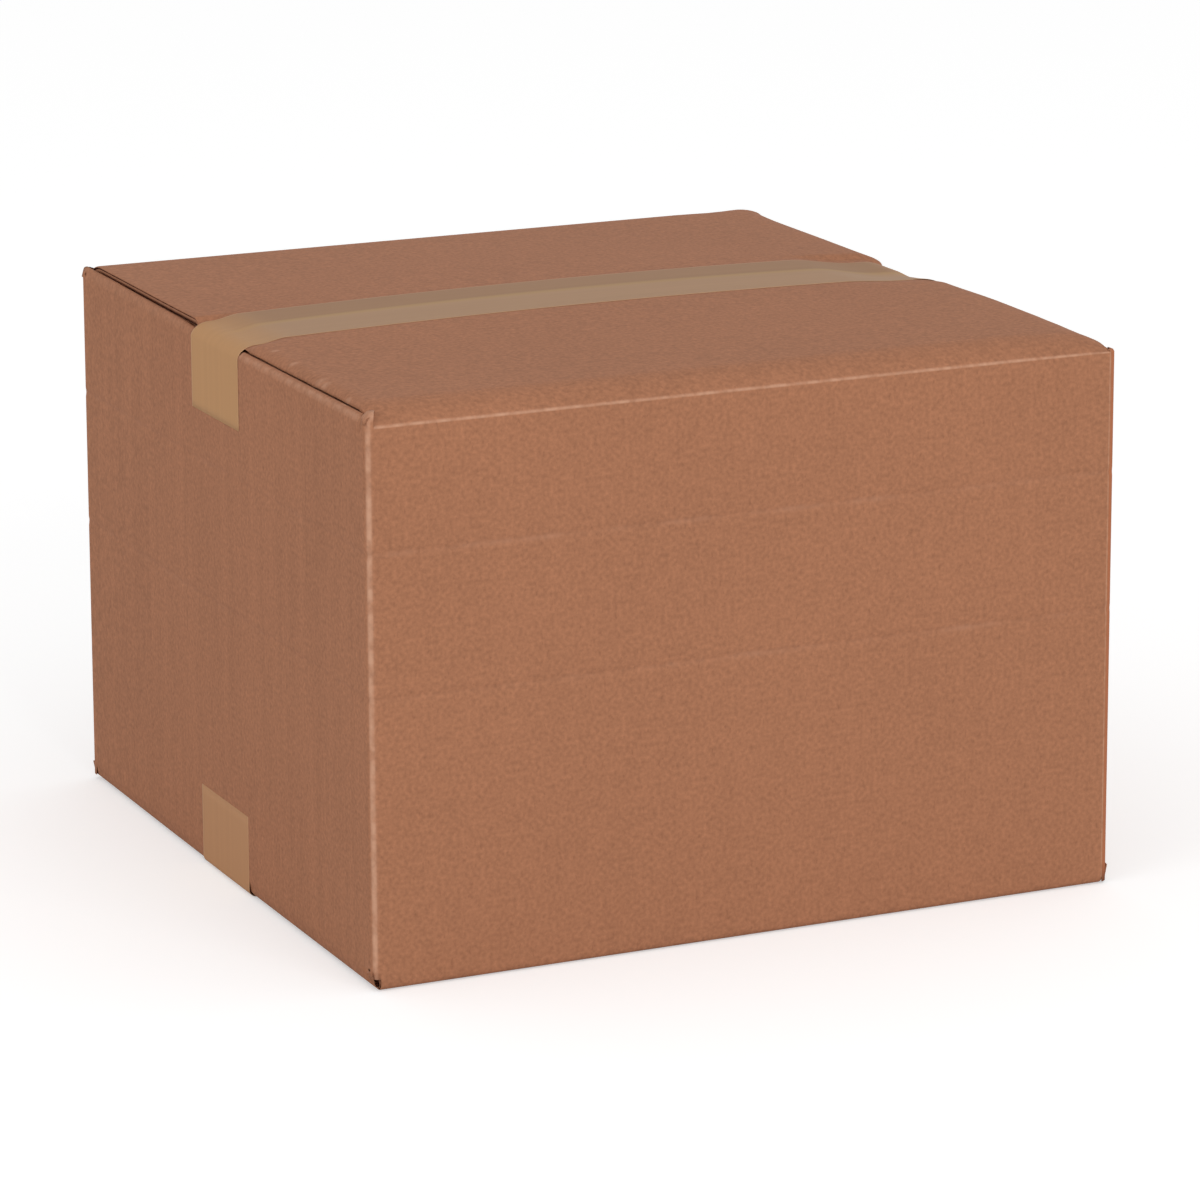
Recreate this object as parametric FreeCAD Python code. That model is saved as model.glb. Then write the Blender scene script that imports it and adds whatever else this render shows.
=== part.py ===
import FreeCAD, Part
import math
import os

from FreeCAD import Vector

# A closed slotted carton of single-wall corrugated board, folded from one glued blank, with one
# strip of packing tape over the top seam and one under the base seam. Millimetres, +Z up. X runs
# along the seams and the tapes, the long flaps hinge on the front (-Y) and back (+Y) panels, and
# the short flaps hinge on the two end panels. The origin is the middle of the base, at the floor.

# Room inside: 12 by 12 inches, and 8 inches plus the spring of the closed flaps
INSIDE_LENGTH = 304.8
INSIDE_WIDTH = 304.8
INSIDE_DEPTH = 205.0

# The board and the gaps that folding leaves
BOARD = 4.0
LINER = 0.5
FLAP_GAP = 0.2
LONG_SEAM = 1.0
SHORT_SEAM = 1.5

# Folds, as the radius of their outside. An easy fold turns off the wall sharply, then gently.
POST_RADIUS = 3.5
BASE_FOLD_RADIUS = 3.0
SHORT_FOLD_RADIUS = 2.5
TIGHT_RADIUS = 2.2
TIGHT_TURN = math.radians(45)
EASY_RADIUS = 21.6

# Slots between the flaps, seen as small openings at the eight corners
LONG_FLAP_SETBACK = 3.0
SHORT_FLAP_SETBACK = 5.0
POST_FOOT = 5.0
POST_DROP = 0.2

# Cut ends of the long flaps: the hollow between the liners, its depth a share of its opening
FLUTE_HOLLOW = 0.4

# Bow of the top flaps along the seam, and their ends crushed under the tape
CROWN = 3.1
LEFT_CRUSH_LENGTH = 15.0
LEFT_CRUSH = 2.4
RIGHT_CRUSH_LENGTH = 25.0
RIGHT_CRUSH = 2.4
CRUSH_RAMP = 6.0

# Depth scores pressed round the walls, for cutting the carton down
SCORE_HEIGHTS = (111.7, 166.5)
SCORE_WIDTH = 4.0
SCORE_DEPTH = 0.5

# Glued joint inside the back right corner
TAB_WIDTH = 35.0
TAB_TAPER = 9.0
TAB_CLEARANCE = 1.0

# Packing tape, drawn thicker than the real film so that it is a sound solid
TAPE_WIDTH = 50.8
TAPE_THICKNESS = 0.3
TOP_TAPE_SHIFT = -2.0
BASE_TAPE_SHIFT = -3.5
TOP_TAPE_TAIL = 34.6
BASE_TAPE_TAIL = 33.0

# Faces and heights that follow from the sizes above
HALF_LENGTH = INSIDE_LENGTH / 2 + BOARD
HALF_WIDTH = INSIDE_WIDTH / 2 + BOARD
LONG_FLAP_END = HALF_LENGTH - LONG_FLAP_SETBACK
SHORT_FLAP_SIDE = HALF_WIDTH - SHORT_FLAP_SETBACK
BASE_SHORT_FACE = BOARD + FLAP_GAP
FLOOR_INSIDE = BASE_SHORT_FACE + BOARD
CEILING_INSIDE = FLOOR_INSIDE + INSIDE_DEPTH
TOP_SHORT_FACE = CEILING_INSIDE + BOARD
TOP_LONG_UNDER = TOP_SHORT_FACE + FLAP_GAP
TOP_LONG_FACE = TOP_LONG_UNDER + BOARD
POST_TOP = CEILING_INSIDE - POST_DROP
RIGHT_ANGLE = math.pi / 2
EASY_FOLD = ((TIGHT_RADIUS, TIGHT_TURN), (EASY_RADIUS, RIGHT_ANGLE - TIGHT_TURN))
SHORT_FOLD = ((SHORT_FOLD_RADIUS, RIGHT_ANGLE),)
BASE_FOLD = ((BASE_FOLD_RADIUS, RIGHT_ANGLE),)
EASY_REACH = TIGHT_RADIUS * (1 - math.cos(TIGHT_TURN)) + EASY_RADIUS * math.cos(TIGHT_TURN)
CROWN_START = HALF_WIDTH - EASY_REACH
TINY = 1e-6


class Outline:
    """A closed outline of lines and arcs, drawn in one plane that the place function sets."""

    def __init__(self, place, start):
        self.place = place
        self.first = place(*start)
        self.last = self.first
        self.edges = []

    def line_to(self, *point):
        target = self.place(*point)
        if target.distanceToPoint(self.last) > TINY:
            self.edges.append(Part.makeLine(self.last, target))
            self.last = target

    def arc_to(self, middle, end):
        target = self.place(*end)
        self.edges.append(Part.Arc(self.last, self.place(*middle), target).toShape())
        self.last = target

    def curve_to(self, middle, end):
        """An arc, or a straight line where the three points are level."""
        if abs(middle[1] - end[1]) < TINY:
            self.line_to(*end)
        else:
            self.arc_to(middle, end)

    def wire(self):
        if self.last.distanceToPoint(self.first) > TINY:
            self.edges.append(Part.makeLine(self.last, self.first))
        return Part.Wire(self.edges)

    def extruded(self, direction):
        return Part.Face(self.wire()).extrude(direction)


def box(x, y, z):
    """A box between two values on each axis."""
    corner = Vector(x[0], y[0], z[0])
    return Part.makeBox(x[1] - x[0], y[1] - y[0], z[1] - z[0], corner)


def mirrored_x(shape):
    return shape.mirror(Vector(0, 0, 0), Vector(1, 0, 0))


def mirrored_y(shape):
    return shape.mirror(Vector(0, 0, 0), Vector(0, 1, 0))


def bend_drop(radius, length):
    """How far a flap falls over a length from where it starts to bend at a radius."""
    return radius - math.sqrt(radius ** 2 - length ** 2)


def bend_radius(length, drop):
    """The radius that falls by a drop over a length, from level."""
    return (length ** 2 + drop ** 2) / (2 * drop)


def fold_points(turns, face, up):
    """Points (depth, height) on a fold's outside, from the wall to the flap's outer face.

    Each turn is (radius, angle) and adds its middle and its end. Up is 1 at the top, -1 at the
    base. The height at which the fold leaves the wall follows from its turns.
    """
    rise = 0.0
    swept = 0.0
    for radius, angle in turns:
        rise += radius * (math.sin(swept + angle) - math.sin(swept))
        swept += angle
    points = [(0.0, face - up * rise)]
    swept = 0.0
    for radius, angle in turns:
        depth, height = points[-1]
        for share in (0.5, 1.0):
            end = swept + angle * share
            out = depth + radius * (math.cos(swept) - math.cos(end))
            rose = height + up * radius * (math.sin(end) - math.sin(swept))
            points.append((out, rose))
        swept += angle
    return points


def fold_score(turns, face, up):
    """The height of the score line, where a fold leaves its wall."""
    return fold_points(turns, face, up)[0][1]


# The wall ring stands between the highest base score and the lowest top score
RING_TOP = min(
    fold_score(EASY_FOLD, TOP_LONG_FACE, 1),
    fold_score(EASY_FOLD, TOP_SHORT_FACE, 1),
    fold_score(SHORT_FOLD, TOP_SHORT_FACE, 1),
)
RING_FOOT = max(FLOOR_INSIDE, fold_score(BASE_FOLD, BASE_SHORT_FACE, -1))

# The long flaps' right ends bend over the easy fold of the short flap under them
RIGHT_BEND = EASY_REACH - LONG_FLAP_SETBACK
RIGHT_DROP = bend_drop(EASY_RADIUS, RIGHT_BEND)
RIGHT_BEND_START = LONG_FLAP_END - RIGHT_BEND


def folded_panel(place, turns, face, join, flap_end, up):
    """Outline of a strip of wall, its fold and its flap, with a crushed corner inside."""
    points = fold_points(turns, face, up)
    inner_face = face - up * BOARD
    outline = Outline(place, (0.0, join))
    outline.line_to(*points[0])
    for middle, end in zip(points[1::2], points[2::2]):
        outline.arc_to(middle, end)
    outline.line_to(flap_end, face)
    outline.line_to(flap_end, inner_face)
    outline.line_to(BOARD, inner_face)
    outline.line_to(BOARD, join)
    return outline


def at_front(x):
    """Puts depth and height on the front panel, in the plane across X."""
    return lambda depth, height: Vector(x, -HALF_WIDTH + depth, height)


def at_left(y):
    """Puts depth and height on the left end panel, in the plane across Y."""
    return lambda depth, height: Vector(-HALF_LENGTH + depth, y, height)


def along(y):
    """Puts length and height in the plane across Y."""
    return lambda length, height: Vector(length, y, height)


def wall_ring(low, high):
    """The four walls between two heights, round at the upright folds."""
    outer = box((-HALF_LENGTH, HALF_LENGTH), (-HALF_WIDTH, HALF_WIDTH), (low, high))
    upright = [edge for edge in outer.Edges if abs(edge.tangentAt(0).z) > 0.5]
    outer = outer.makeFillet(POST_RADIUS, upright)
    inner_x = (-HALF_LENGTH + BOARD, HALF_LENGTH - BOARD)
    inner_y = (-HALF_WIDTH + BOARD, HALF_WIDTH - BOARD)
    return outer.cut(box(inner_x, inner_y, (low, high)))


def corner_posts(low, high):
    """The upright folds where they stand past the ring, between the slots: none at the joint."""
    across_x = (-HALF_LENGTH, HALF_LENGTH)
    across_y = (-HALF_WIDTH, HALF_WIDTH)
    posts = wall_ring(low, high)
    posts = posts.cut(box((-LONG_FLAP_END, LONG_FLAP_END), across_y, (low, high)))
    posts = posts.cut(box(across_x, (-SHORT_FLAP_SIDE, SHORT_FLAP_SIDE), (low, high)))
    return posts.cut(box((0.0, HALF_LENGTH), (0.0, HALF_WIDTH), (low, high)))


def joint_opening():
    """What the back right corner loses: the back panel stops short, and the end panel turns in."""
    low, high = RING_FOOT, RING_TOP
    back_inner = HALF_WIDTH - BOARD
    missing = box((LONG_FLAP_END, HALF_LENGTH + BOARD), (back_inner, HALF_WIDTH + BOARD), (low, high))
    turn = LONG_FLAP_SETBACK
    edge = box((HALF_LENGTH - turn, HALF_LENGTH), (back_inner - turn, back_inner), (low, high))
    centre = Vector(HALF_LENGTH - turn, back_inner - turn, low)
    return missing.fuse(edge.cut(Part.makeCylinder(turn, high - low, centre)))


def glue_tab():
    """The tapered tab of the end panel, glued to the inside of the back panel."""
    root = HALF_LENGTH - BOARD
    tip = root - TAB_WIDTH
    low = FLOOR_INSIDE + TAB_CLEARANCE
    high = CEILING_INSIDE - TAB_CLEARANCE
    outline = Outline(along(HALF_WIDTH - 2 * BOARD), (root, low))
    outline.line_to(root, high)
    outline.line_to(tip, high - TAB_TAPER)
    outline.line_to(tip, low + TAB_TAPER)
    return outline.extruded(Vector(0, BOARD, 0))


def walls():
    """The ring with its posts, opened at the glued joint and closed there by the tab."""
    body = wall_ring(RING_FOOT, RING_TOP)
    body = body.fuse([corner_posts(POST_FOOT, RING_FOOT), corner_posts(RING_TOP, POST_TOP)])
    return body.cut(joint_opening()).fuse(glue_tab())


def score_grooves():
    """Shallow round-bottomed creases across all four walls, one set at each score height."""
    radius = bend_radius(SCORE_WIDTH / 2, SCORE_DEPTH)
    out = radius - SCORE_DEPTH
    grooves = []
    for height in SCORE_HEIGHTS:
        start = Vector(-HALF_LENGTH, -HALF_WIDTH - out, height)
        front = Part.makeCylinder(radius, 2 * HALF_LENGTH, start, Vector(1, 0, 0))
        start = Vector(-HALF_LENGTH - out, -HALF_WIDTH, height)
        left = Part.makeCylinder(radius, 2 * HALF_WIDTH, start, Vector(0, 1, 0))
        grooves += [front, mirrored_y(front), left, mirrored_x(left)]
    return grooves


def short_flap(turns, face, join, up):
    """The left end panel's flap, from its score to the middle of the carton."""
    reach = HALF_LENGTH - SHORT_SEAM / 2
    outline = folded_panel(at_left(-SHORT_FLAP_SIDE), turns, face, join, reach, up)
    return outline.extruded(Vector(0, 2 * SHORT_FLAP_SIDE, 0))


def short_flaps():
    """Two flaps at the base and two at the top. The right top flap has the easier fold."""
    base = short_flap(BASE_FOLD, BASE_SHORT_FACE, RING_FOOT, -1)
    top_left = short_flap(SHORT_FOLD, TOP_SHORT_FACE, RING_TOP, 1)
    top_right = mirrored_x(short_flap(EASY_FOLD, TOP_SHORT_FACE, RING_TOP, 1))
    return [base, mirrored_x(base), top_left, top_right]


def open_flute():
    """The half flute that the cut leaves open along a long base flap's end."""
    opening = BOARD - 2 * LINER
    depth = FLUTE_HOLLOW * opening
    radius = bend_radius(opening / 2, depth)
    inner = HALF_WIDTH - BOARD
    start = Vector(-LONG_FLAP_END - radius + depth, -inner, BOARD / 2)
    return Part.makeCylinder(radius, 2 * inner, start, Vector(0, 1, 0))


def base_long_flaps():
    """The two flaps that the carton stands on, with open flutes at their ends."""
    reach = HALF_WIDTH - LONG_SEAM / 2
    outline = folded_panel(at_front(-LONG_FLAP_END), BASE_FOLD, 0.0, RING_FOOT, reach, -1)
    front = outline.extruded(Vector(2 * LONG_FLAP_END, 0, 0))
    flutes = [open_flute(), mirrored_x(open_flute())]
    front = front.cut(flutes)
    return [front, mirrored_y(front)]


def arc_middle(start, level, length, drop):
    """The middle point of a bend that leaves a level at start and falls along +X or -X."""
    radius = bend_radius(abs(length), drop)
    half_turn = math.asin(abs(length) / radius) / 2
    return start + math.copysign(radius * math.sin(half_turn), length), level - bend_drop(
        radius, radius * math.sin(half_turn)
    )


def bend_to(outline, start, level, length, drop, outward):
    """Draws a flap's end bend, outward to its tip or back from its tip, or a level stretch."""
    tip = (start + length, level - drop)
    target = tip if outward else (start, level)
    if drop < TINY:
        outline.line_to(*target)
    else:
        outline.arc_to(arc_middle(start, level, length, drop), target)


def top_bends(crushed):
    """The top face's bends at the left and right ends, as (length along X, drop)."""
    if crushed:
        return (-LEFT_CRUSH_LENGTH, LEFT_CRUSH), (RIGHT_CRUSH_LENGTH, RIGHT_DROP + RIGHT_CRUSH)
    return (-LEFT_CRUSH_LENGTH, 0.0), (RIGHT_BEND, RIGHT_DROP)


def draw_top(outline, rise, crushed, lift, rightward):
    """Draws the crowned top face between its two ends, with both bends, in either direction."""
    level = TOP_LONG_FACE + lift
    left, right = top_bends(crushed)
    left_start = -LONG_FLAP_END - left[0]
    right_start = LONG_FLAP_END - right[0]
    middle = ((left_start + right_start) / 2, level + rise)
    if rightward:
        bend_to(outline, left_start, level, *left, False)
        outline.curve_to(middle, (right_start, level))
        bend_to(outline, right_start, level, *right, True)
    else:
        bend_to(outline, right_start, level, *right, False)
        outline.curve_to(middle, (left_start, level))
        bend_to(outline, left_start, level, *left, True)


def draw_cut_end(outline, x, high, low, inward):
    """Draws a flap's cut end from one height to another, with the open flute between liners."""
    liner = math.copysign(LINER, high - low)
    depth = FLUTE_HOLLOW * (abs(high - low) - 2 * LINER)
    outline.line_to(x, high - liner)
    outline.arc_to((x + inward * depth, (high + low) / 2), (x, low + liner))
    outline.line_to(x, low)


def top_flap_section(y, rise, crushed):
    """Section along a long top flap: bowed by rise, bent at the right, crushed or not."""
    left, right = top_bends(crushed)
    left_top = TOP_LONG_FACE - left[1]
    right_top = TOP_LONG_FACE - right[1]
    right_under = TOP_LONG_UNDER - RIGHT_DROP
    left_start = -LONG_FLAP_END + LEFT_CRUSH_LENGTH
    outline = Outline(along(y), (-LONG_FLAP_END, left_top))
    draw_top(outline, rise, crushed, 0.0, True)
    draw_cut_end(outline, LONG_FLAP_END, right_top, right_under, -1)
    bend_to(outline, RIGHT_BEND_START, TOP_LONG_UNDER, RIGHT_BEND, RIGHT_DROP, False)
    middle = ((left_start + RIGHT_BEND_START) / 2, TOP_LONG_UNDER + rise)
    outline.curve_to(middle, (left_start, TOP_LONG_UNDER))
    outline.line_to(-LONG_FLAP_END, TOP_LONG_UNDER)
    draw_cut_end(outline, -LONG_FLAP_END, TOP_LONG_UNDER, left_top, 1)
    return outline.wire()


def rise_at(y):
    """The crown grows evenly from the fold to the seam."""
    seam = LONG_SEAM / 2
    return CROWN * (CROWN_START - abs(y)) / (CROWN_START - seam)


def tape_edges(shift):
    """The two long edges of a tape, near and far."""
    return shift - TAPE_WIDTH / 2, shift + TAPE_WIDTH / 2


def crowned_flap(side, tape_edge):
    """A long top flap from its fold to the seam, on the side -1 or 1, crushed under the tape."""
    seam = side * LONG_SEAM / 2
    ramp_end = tape_edge + side * CRUSH_RAMP
    stations = [(side * CROWN_START, False), (ramp_end, False), (tape_edge, True), (seam, True)]
    sections = [top_flap_section(y, rise_at(y), crushed) for y, crushed in stations]
    return Part.makeLoft(sections, True, True)


def top_long_fold():
    """The front panel's top fold, straight for most of its length."""
    outline = folded_panel(
        at_front(-LONG_FLAP_END), EASY_FOLD, TOP_LONG_FACE, RING_TOP, EASY_REACH, 1
    )
    return outline.extruded(Vector(RIGHT_BEND_START + LONG_FLAP_END, 0, 0))


def under_bend(level):
    """Everything between the ring and the right end's bend at a level, all across the carton."""
    outline = Outline(along(-HALF_WIDTH), (RIGHT_BEND_START, RING_TOP))
    outline.line_to(RIGHT_BEND_START, level)
    bend_to(outline, RIGHT_BEND_START, level, RIGHT_BEND, RIGHT_DROP, True)
    outline.line_to(LONG_FLAP_END, RING_TOP)
    return outline.extruded(Vector(0, 2 * HALF_WIDTH, 0))


def top_fold_corner():
    """The right end of the front top fold, where the fold and the flap's end bend meet."""
    points = fold_points(EASY_FOLD, TOP_LONG_FACE, 1)
    outline = Outline(at_front(RIGHT_BEND_START), (0.0, RING_TOP))
    outline.line_to(*points[0])
    for middle, end in zip(points[1::2], points[2::2]):
        outline.arc_to(middle, end)
    outline.line_to(EASY_REACH, RING_TOP)
    filled = outline.extruded(Vector(RIGHT_BEND, 0, 0))
    room = box(
        (-HALF_LENGTH, HALF_LENGTH), (-HALF_WIDTH + BOARD, HALF_WIDTH), (0.0, TOP_LONG_FACE)
    )
    hollow = under_bend(TOP_LONG_UNDER).common(room)
    return filled.common(under_bend(TOP_LONG_FACE)).cut(hollow)


def top_long_folds():
    """The front and back panels' top folds, each with its bent right end."""
    fold = top_long_fold()
    corner = top_fold_corner()
    return [fold, corner, mirrored_y(fold), mirrored_y(corner)]


def crowned_flaps():
    """Both long top flaps past their folds. Each is crushed under its own share of the tape."""
    near, far = tape_edges(TOP_TAPE_SHIFT)
    return [crowned_flap(-1, near), crowned_flap(1, far)]


def tape_strip(y, rise, crushed):
    """Section of the tape where it lies on a flap, one film thickness high."""
    left, right = top_bends(crushed)
    outline = Outline(along(y), (-LONG_FLAP_END, TOP_LONG_FACE - left[1]))
    draw_top(outline, rise, crushed, 0.0, True)
    outline.line_to(LONG_FLAP_END, TOP_LONG_FACE - right[1] + TAPE_THICKNESS)
    draw_top(outline, rise, crushed, TAPE_THICKNESS, False)
    return outline.wire()


def tape_tail(bend, tail_end):
    """Left-hand tail: off the crushed flap end, round the fold and down the end panel."""
    length, drop = abs(bend[0]), bend[1]
    slope = math.asin(length / bend_radius(length, drop))
    radius = LONG_FLAP_SETBACK / (1 - math.sin(slope))
    start = TOP_LONG_FACE - drop
    centre = (-HALF_LENGTH + radius, start - radius * math.cos(slope))
    half_way = (slope + RIGHT_ANGLE) / 2
    across = (math.sin(half_way), math.cos(half_way))
    outer = radius + TAPE_THICKNESS
    near, far = tape_edges(TOP_TAPE_SHIFT)
    outline = Outline(along(near), (-LONG_FLAP_END, start))
    outline.arc_to(
        (centre[0] - radius * across[0], centre[1] + radius * across[1]),
        (-HALF_LENGTH, centre[1]),
    )
    outline.line_to(-HALF_LENGTH, tail_end)
    outline.line_to(-HALF_LENGTH - TAPE_THICKNESS, tail_end)
    outline.line_to(-HALF_LENGTH - TAPE_THICKNESS, centre[1])
    outline.arc_to(
        (centre[0] - outer * across[0], centre[1] + outer * across[1]),
        (-LONG_FLAP_END, start + TAPE_THICKNESS),
    )
    return outline.extruded(Vector(0, far - near, 0))


def top_tape():
    """The top strip: laid on both crowned flaps, over the seam and down both end panels."""
    near, far = tape_edges(TOP_TAPE_SHIFT)
    seam = LONG_SEAM / 2
    on_front = [tape_strip(near, rise_at(near), True), tape_strip(-seam, CROWN, True)]
    on_back = [tape_strip(seam, CROWN, True), tape_strip(far, rise_at(far), True)]
    over_seam = Part.Face(tape_strip(-seam, CROWN, True)).extrude(Vector(0, LONG_SEAM, 0))
    left, right = top_bends(True)
    tail_end = TOP_LONG_FACE - TOP_TAPE_TAIL
    pieces = [
        Part.makeLoft(on_back, True, True),
        over_seam,
        tape_tail(left, tail_end),
        mirrored_x(tape_tail(right, tail_end)),
    ]
    return Part.makeLoft(on_front, True, True).fuse(pieces)


def base_tape_bed():
    """The shallow bed that the base tape presses into the long flaps, so the base is level."""
    near, far = tape_edges(BASE_TAPE_SHIFT)
    return box((-LONG_FLAP_END, LONG_FLAP_END), (near, far), (0.0, TAPE_THICKNESS))


def bottom_tape():
    """The base strip: flush under the base and turned up both end panels."""
    near, far = tape_edges(BASE_TAPE_SHIFT)
    turn = LONG_FLAP_SETBACK
    outer = turn + TAPE_THICKNESS
    centre = (LONG_FLAP_END, outer)
    diagonal = math.sqrt(0.5)

    def on_turn(side, radius):
        return side * (centre[0] + radius * diagonal), centre[1] - radius * diagonal

    face = HALF_LENGTH
    outline = Outline(along(near), (-LONG_FLAP_END, 0.0))
    outline.line_to(LONG_FLAP_END, 0.0)
    outline.arc_to(on_turn(1, outer), (face + TAPE_THICKNESS, outer))
    outline.line_to(face + TAPE_THICKNESS, BASE_TAPE_TAIL)
    outline.line_to(face, BASE_TAPE_TAIL)
    outline.line_to(face, outer)
    outline.arc_to(on_turn(1, turn), (LONG_FLAP_END, TAPE_THICKNESS))
    outline.line_to(-LONG_FLAP_END, TAPE_THICKNESS)
    outline.arc_to(on_turn(-1, turn), (-face, outer))
    outline.line_to(-face, BASE_TAPE_TAIL)
    outline.line_to(-face - TAPE_THICKNESS, BASE_TAPE_TAIL)
    outline.line_to(-face - TAPE_THICKNESS, outer)
    outline.arc_to(on_turn(-1, outer), (-LONG_FLAP_END, 0.0))
    return outline.extruded(Vector(0, far - near, 0))


def carton():
    """The whole blank as one solid: walls, four short flaps and four long flaps."""
    folded = walls().fuse(short_flaps() + base_long_flaps() + top_long_folds())
    folded = folded.cut(score_grooves() + [base_tape_bed()]).removeSplitter()
    return folded.fuse(crowned_flaps())


def main():
    os.makedirs("parts", exist_ok=True)
    nodes = {
        "carton": carton(),
        "top_tape": top_tape(),
        "bottom_tape": bottom_tape(),
    }
    for name, shape in nodes.items():
        size = shape.BoundBox
        print(name, len(shape.Solids), "solid", shape.isValid(), round(shape.Volume, 1), "mm3")
        print("  from", round(size.XMin, 2), round(size.YMin, 2), round(size.ZMin, 2))
        print("  to", round(size.XMax, 2), round(size.YMax, 2), round(size.ZMax, 2))
        shape.exportStep("parts/" + name + ".step")


main()
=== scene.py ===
import math
from collections import namedtuple

import bmesh
import bpy
from mathutils import Matrix, Vector, kdtree, noise


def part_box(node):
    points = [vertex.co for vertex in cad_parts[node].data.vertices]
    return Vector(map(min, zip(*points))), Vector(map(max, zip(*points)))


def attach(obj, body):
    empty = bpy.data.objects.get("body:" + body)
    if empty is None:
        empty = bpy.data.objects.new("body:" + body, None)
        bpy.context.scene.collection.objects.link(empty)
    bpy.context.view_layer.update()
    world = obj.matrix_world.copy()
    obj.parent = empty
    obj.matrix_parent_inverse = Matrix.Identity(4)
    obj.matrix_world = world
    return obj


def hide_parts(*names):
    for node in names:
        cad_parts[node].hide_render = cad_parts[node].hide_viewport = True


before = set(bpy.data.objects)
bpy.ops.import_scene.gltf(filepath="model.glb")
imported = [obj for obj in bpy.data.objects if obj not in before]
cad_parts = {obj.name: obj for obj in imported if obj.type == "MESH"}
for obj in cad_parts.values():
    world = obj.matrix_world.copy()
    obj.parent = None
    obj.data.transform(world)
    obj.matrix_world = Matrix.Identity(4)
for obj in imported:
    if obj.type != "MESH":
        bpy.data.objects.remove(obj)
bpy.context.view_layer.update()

bl_info = {
    "name": "Closed Carton",
    "version": (1, 0, 0),
    "blender": (4, 5, 0),
    "location": "View3D > Sidebar > Carton",
    "description": "A folded and taped corrugated carton, dressed over its construction model",
    "category": "Object",
}

MM = 0.001
CARTON_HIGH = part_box("carton")[1]
TOP_TAPE_LOW, TOP_TAPE_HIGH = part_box("top_tape")
BASE_TAPE_LOW, BASE_TAPE_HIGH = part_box("bottom_tape")

# The camera that took the photograph, found from the box's corners
CAMERA_PLACE = (-0.8613, -1.8883, 0.6365)
CAMERA_YAW = math.radians(-24.737)
CAMERA_DOWN = math.radians(12.979)
CAMERA_ROLL = math.radians(-0.24)
CAMERA_LENS = 159.1
CAMERA_SENSOR = 36.0
CAMERA_RISE = -0.125


def paint(red, green, blue):
    """A colour given as 0 to 255 in a paint program, as the linear numbers that Blender mixes."""

    def linear(value):
        share = value / 255
        return share / 12.92 if share <= 0.04045 else ((share + 0.055) / 1.055) ** 2.4

    return linear(red), linear(green), linear(blue)


def length(name, text, default):
    """A length that the sidebar shows."""
    return bpy.props.FloatProperty(name=name, description=text, default=default, unit="LENGTH", precision=4)


def colour(name, text, default):
    """A colour that the sidebar shows."""
    return bpy.props.FloatVectorProperty(
        name=name, description=text, default=default, subtype="COLOR", size=3, min=0.0, max=1.0
    )


class CartonSizes(bpy.types.PropertyGroup):
    half_length: length("Half length", "Middle to the end panels", CARTON_HIGH.x)
    half_width: length("Half width", "Middle to the front and back panels", CARTON_HIGH.y)
    board: length("Board", "Thickness of the corrugated board", 4.0 * MM)
    top: length("Top", "Height of the long top flaps at their folds", 221.4 * MM)
    crown: length("Crown", "Rise of the top flaps at the middle of the seam", CARTON_HIGH.z - 221.4 * MM)
    ring_foot: length("Ring foot", "Height of the highest base score", 8.2 * MM)
    ring_top: length("Ring top", "Height of the lowest top score", 209.3 * MM)
    post_radius: length("Post radius", "Roundness of the upright folds", 3.5 * MM)
    flap_end: length("Long flap end", "Middle to the cut ends of the long flaps", 153.4 * MM)
    flap_side: length("Short flap side", "Middle to the sides of the short flaps", 151.4 * MM)
    seam: length("Seam", "Gap between the long flaps", 1.0 * MM)
    low_score: length("Low score", "Height of the lower depth score", 111.7 * MM)
    high_score: length("High score", "Height of the upper depth score", 166.5 * MM)
    score_depth: length("Score depth", "Depth of the depth scores", 0.45 * MM)


class TapeSizes(bpy.types.PropertyGroup):
    top_near: length("Top tape near edge", "Edge towards the front panel", TOP_TAPE_LOW.y)
    top_far: length("Top tape far edge", "Edge towards the back panel", TOP_TAPE_HIGH.y)
    top_tail: length("Top tape tail", "Height of the tails' ends", TOP_TAPE_LOW.z)
    base_near: length("Base tape near edge", "Edge towards the front panel", BASE_TAPE_LOW.y)
    base_far: length("Base tape far edge", "Edge towards the back panel", BASE_TAPE_HIGH.y)
    base_tail: length("Base tape tail", "Height of the tails' ends", BASE_TAPE_HIGH.z)
    lift: length("Lift", "Gap between the board and the film", 0.06 * MM)
    film: length("Film", "Thickness of the film", 0.1 * MM)


class CartonColours(bpy.types.PropertyGroup):
    board: colour("Board", "Kraft liner", paint(164, 111, 81))
    fleck: colour("Fleck", "Dark fibres in the liner", paint(128, 84, 60))
    # Pale tone for rubbed liner and for the painted highlights on the fold crests and the near upright fold
    worn_and_highlight: colour("Worn", "Liner rubbed pale on the folds", paint(208, 161, 133))
    score: colour("Score", "Liner rubbed on the depth scores", paint(178, 129, 102))
    # Painted shade on the far upright folds, a deeper orange than the board
    post_shade: colour("Bent", "Liner stretched round the far upright folds", paint(177, 106, 70))
    # Painted shade in the open flutes of the cut edges and in the slots: a lighter and a deeper tone
    flute_half_shade: colour("Flute", "Open flutes in the cut edges", paint(118, 72, 50))
    flute_deep_shade: colour("Dark", "Inside of the slots at the corners", paint(78, 42, 27))
    tape: colour("Tape", "Buff film where it lies on the end panels", paint(186, 141, 98))
    tape_low: colour("Tape at the base", "Buff film low on the end panels", paint(184, 137, 99))
    tape_near: colour("Tape near band", "Film over the near half of the top", paint(170, 135, 105))
    tape_far: colour("Tape far band", "Film over the far half of the top", paint(157, 120, 89))
    tape_seam: colour("Tape seam line", "Film drawn over the seam", paint(180, 147, 98))
    tape_edge: colour("Tape edge", "Pale rims of the film", paint(200, 156, 120))


def smooth_step(low, high, value):
    """0 below low, 1 above high and a smooth rise between them."""
    share = min(1.0, max(0.0, (value - low) / (high - low)))
    return share * share * (3 - 2 * share)


def blend(first, last, share):
    """A number that share of the way from the first to the last."""
    return first + (last - first) * share


# The shape of the top, shared by the flaps and the tape that lies on them

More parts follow.
